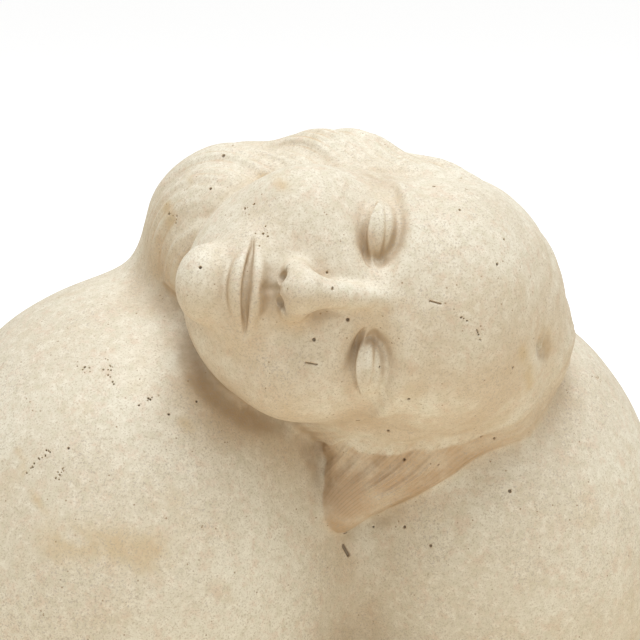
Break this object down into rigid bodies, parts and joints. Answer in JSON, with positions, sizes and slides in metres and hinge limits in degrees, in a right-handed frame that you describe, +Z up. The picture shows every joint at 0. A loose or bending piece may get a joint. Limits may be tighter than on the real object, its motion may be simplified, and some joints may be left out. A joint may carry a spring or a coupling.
{
  "type": "marble female bust",
  "caption": "Carved marble bust of a stout woman with her head laid sideways on rounded shoulders, cut flat below to stand by its own weight.",
  "frame": {"origin": "on the flat underside, below the middle of the shoulders", "axes": "+Z up out of the shoulders, the face looks along -Y, +X to her left, where the crown of the head points"},
  "size_m": [0.227, 0.1693, 0.1513],
  "materials": {
    "marble": "matte, honed and worn, warm cream with tan in the recesses"
  },
  "bodies": {
    "root": {"marble_bust": "marble"}
  },
  "joints": []
}
